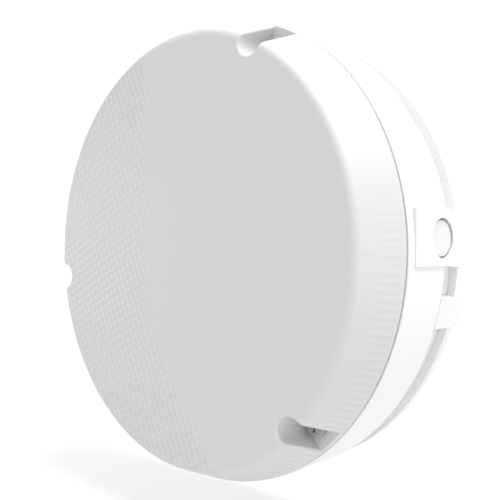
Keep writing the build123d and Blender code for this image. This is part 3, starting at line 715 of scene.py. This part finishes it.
def led_window(mix, axes):
    """1 within 1.2 mm of the nearest LED's middle, found by folding radius and angle."""
    radius = mix.hypotenuse(axes.outputs["X"], axes.outputs["Z"])
    half_gap = (LED_RINGS[1] - LED_RINGS[0]) / 2
    off_ring = mix.maths("PINGPONG", mix.maths("SUBTRACT", radius, LED_RINGS[0]), half_gap)
    angle = mix.maths("DIVIDE", mix.maths("ARCTAN2", axes.outputs["Z"], axes.outputs["X"]), LED_STEP)
    off_step = mix.maths("MULTIPLY", mix.maths("PINGPONG", angle, 0.5), LED_STEP)
    sideways = mix.maths("MULTIPLY", off_step, radius)
    return mix.spread(mix.hypotenuse(off_ring, sideways), 1.0, 0.0, 1.15 * MM, 1.25 * MM)


def led_package():
    mix = Finish("led_package")
    axes = mix.node("ShaderNodeSeparateXYZ", {"Vector": mix.place})
    window = led_window(mix, axes)
    grains = mix.noise(0.15 * MM, 3.0)
    mix.shade(
        base_color=mix.blend(window, grey(0.84), (0.86, 0.70, 0.16, 1.0)),
        roughness=mix.spread(grains, 0.25, 0.45, 0.3, 0.7),
        normal=mix.bump(grains, 0.01 * MM, mix.rounded(0.1 * MM)),
    )
    finishes["led_package"] = mix.material


led_package()
print("finishes:", len(finishes))

# %% [markdown]
# ## Prisms inside the lens face
#
# The inside of the face carries the square pyramids themselves. The sheet is a function of two
# parameters u and v along the turned grid: height = depth x min(fold(u), fold(v)), where fold is
# 0 on a grid line and 1 half way to the next. Sampling at every half pitch puts a vertex on every
# valley and every tip. Quads outside the flat part of the face are left out.

# %% Lens prisms
def fold(value, pitch):
    """A triangle wave: 0 at whole pitches and 1 half way between them."""
    return 1.0 - np.abs(np.mod(value / pitch, 1.0) * 2.0 - 1.0)


def make_prisms(reach, depth, base):
    steps = int(reach / PRISM_PITCH) * 2 + 2
    line = np.arange(-steps, steps + 1) * PRISM_PITCH / 2
    u, v = np.meshgrid(line, line, indexing="xy")
    height = depth * np.minimum(fold(u, PRISM_PITCH), fold(v, PRISM_PITCH))
    x = u * cos(PRISM_TURN) - v * sin(PRISM_TURN)
    z = u * sin(PRISM_TURN) + v * cos(PRISM_TURN)
    points = np.stack([x, base + height, z], 2)
    inside = np.hypot(x, z) < reach
    whole = inside[:-1, :-1] & inside[1:, :-1] & inside[:-1, 1:] & inside[1:, 1:]
    return skin("lens_prisms", points, keep=whole)


PRISM_REACH = 64.5 * MM
PRISM_DEPTH = 0.55 * MM
INNER_FACE_Y = FACE_Y + 2.21 * MM
prisms = make_prisms(PRISM_REACH, PRISM_DEPTH, INNER_FACE_Y)
print("lens prisms:", len(prisms.data.polygons), "quads")

# %% [markdown]
# ## Domes on the LEDs
#
# Each LED carries a clear silicone dome, a flattened half sphere over radius and angle:
# forward = height x cos(t), out = radius x sin(t).

# %% LED domes
def make_dome(name, middle, radius, height):
    t, turn = np.meshgrid(np.linspace(0.0, pi / 2, 9), np.linspace(0, 2 * pi, 33)[:-1])
    x = middle[0] + radius * np.sin(t) * np.cos(turn)
    z = middle[2] + radius * np.sin(t) * np.sin(turn)
    y = middle[1] - height * np.cos(t)
    return skin(name, np.stack([x, y, z], 2), close_u=True)


led_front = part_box("leds")[0].y
domes = []
for radius, count in ((LED_RINGS[0], 6), (LED_RINGS[1], 12)):
    for number in range(count):
        angle = 2 * pi * number / count
        place = (radius * cos(angle), led_front, radius * sin(angle))
        domes.append(make_dome("led_dome_%d" % (len(domes) + 1), place, 1.35 * MM, 0.7 * MM))
print("LED domes:", len(domes))

# %% [markdown]
# ## Woven insect screen
#
# The screen behind the sound slots is a plain weave. Every wire is a thin tube over two
# parameters: one along the wire and one round it. The wire's middle swings in and out of the
# band as a cosine of the crossing number, and neighbouring wires swing in opposite senses.

# %% Insect screen
SCREEN_LOW, SCREEN_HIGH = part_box("insect_screen")
SCREEN_RADIUS = -SCREEN_LOW.z - 0.2 * MM
SCREEN_HALF = np.arcsin(SCREEN_HIGH.x / (SCREEN_RADIUS + 0.2 * MM))
WIRE = 0.085 * MM


def band_point(turn, depth, out):
    """A point of the band: turn is measured from straight down, depth is the place along y."""
    radius = SCREEN_RADIUS + out
    return np.stack([radius * np.sin(turn), depth, -radius * np.cos(turn)], -1)


def make_weave(hoops, posts):
    low = SCREEN_LOW.y + 0.15 * MM
    high = SCREEN_HIGH.y - 0.15 * MM
    turns = np.linspace(-SCREEN_HALF * 0.985, SCREEN_HALF * 0.985, posts)
    depths = np.linspace(low, high, hoops)
    ring_turn = np.linspace(0, 2 * pi, 7)[:-1]
    swing = 0.1 * MM
    wires = []
    for row in range(hoops):
        at, round_wire = np.meshgrid(np.arange(posts), ring_turn, indexing="ij")
        out = swing * np.cos(pi * (at + row)) + WIRE * np.cos(round_wire)
        wires.append(band_point(turns[at], depths[row] + WIRE * np.sin(round_wire), out))
    sideways = WIRE / SCREEN_RADIUS
    for column in range(posts):
        at, round_wire = np.meshgrid(np.arange(hoops), ring_turn, indexing="ij")
        out = -swing * np.cos(pi * (at + column)) + WIRE * np.cos(round_wire)
        turn = turns[column] + sideways * np.sin(round_wire)
        wires.append(band_point(turn, depths[at], out))
    return [skin("screen_wire_%d" % n, points, close_v=True) for n, points in enumerate(wires)]


def joined(name, parts):
    """Copies the meshes of several objects into one object and removes the single ones."""
    points = [read_points(part.data) for part in parts]
    starts = np.cumsum([0] + [len(p) for p in points])
    quads = [read_quads(part.data) + start for part, start in zip(parts, starts)]
    mesh = bpy.data.meshes.new(name)
    mesh.from_pydata(np.concatenate(points).tolist(), [], np.concatenate(quads).tolist())
    for part in parts:
        bpy.data.meshes.remove(part.data)
    made = bpy.data.objects.new(name, mesh)
    bpy.context.scene.collection.objects.link(made)
    return made


def read_points(mesh):
    flat = np.empty(len(mesh.vertices) * 3)
    mesh.vertices.foreach_get("co", flat)
    return flat.reshape(-1, 3)


def read_quads(mesh):
    flat = np.empty(len(mesh.polygons) * 4, dtype=np.int32)
    mesh.polygons.foreach_get("vertices", flat)
    return flat.reshape(-1, 4)


screen = joined("screen_weave", make_weave(hoops=9, posts=115))
face_outward(screen)
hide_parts("insect_screen")
print("screen quads:", len(screen.data.polygons))

# %% [markdown]
# ## Springs
#
# Each compression spring is one wire along a helix. At a share t of its length the wire's middle
# is radius cos(a) sideways, radius sin(a) upward and length x t forward, with a = 2 pi x turns x t.
# The tube round it is a circle in the outward and forward directions, closed at both ends.


def make_spring(name, anchor, forward, length, radius, turns, wire):
    side = np.array(forward.orthogonal().normalized())
    up = np.cross(np.array(forward), side)
    t, turn = np.meshgrid(np.linspace(0, 1, turns * 40 + 1), np.linspace(0, 2 * pi, 13)[:-1], indexing="ij")
    thick = np.where((t > 0) & (t < 1), wire, 0.0)
    out = radius + thick * np.cos(turn)
    along = wire + (length - 2 * wire) * t + thick * np.sin(turn)
    wound = 2 * pi * turns * t
    sideways = (out * np.cos(wound))[..., None] * side
    upward = (out * np.sin(wound))[..., None] * up
    points = np.array(anchor) + along[..., None] * np.array(forward) + sideways + upward
    return skin(name, points, close_v=True)


def spring_in_box(name, node, fixed_end, forward, turns, wire):
    """The helix that fills a CAD spring's box from its fixed end."""
    low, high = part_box(node)
    size = high - low
    along = max(range(3), key=lambda axis: abs(forward[axis]))
    anchor = middle_of(node)
    anchor[along] = (low, high)[fixed_end][along]
    length = size[along]
    radius = size.z / 2 - wire
    made = make_spring(name, anchor, Vector(forward), length, radius, turns, wire)
    return made, anchor, length


SPRINGS = [
    ("button_coil", "button_spring", "button_press", 0, (1, 0, 0), 5, 0.30 * MM),
    ("tamper_coil", "tamper_spring", "tamper_press", 1, (0, -1, 0), 3, 0.25 * MM),
]
springs = []
for name, node, joint, fixed_end, forward, turns, wire in SPRINGS:
    made, anchor, length = spring_in_box(name, node, fixed_end, forward, turns, wire)
    springs.append((made, node, joint, forward, anchor, length))
print("springs:", [spring[0].name for spring in springs])

# %% [markdown]
# ## Giving the finishes to the parts
#
# The record names one material slot for each part, and each finish carries the name of its slot.
# The drawn pieces take the finish of the part they belong to and ride on the same body.

# %% Assign finishes
def dress(piece, finish):
    piece.data.materials.clear()
    piece.data.materials.append(finishes[finish])


for part in frame["record"]["subparts"]:
    dress(frame["nodes"][part["node"]], part["material_slot"])

dress(prisms, "lens_plastic")
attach(prisms, "lens")
dress(screen, "screen_steel")
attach(screen, "base")
for dome in domes:
    face_outward(dome)
    dress(dome, "led_package")
    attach(dome, "base")
for spring, node, joint, axis, anchor, length in springs:
    face_outward(spring)
    dress(spring, "spring_steel")
    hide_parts(node)
    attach(spring, "base")
    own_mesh(spring)
print("parts dressed:", len(frame["nodes"]) + 2 + len(domes) + len(springs))
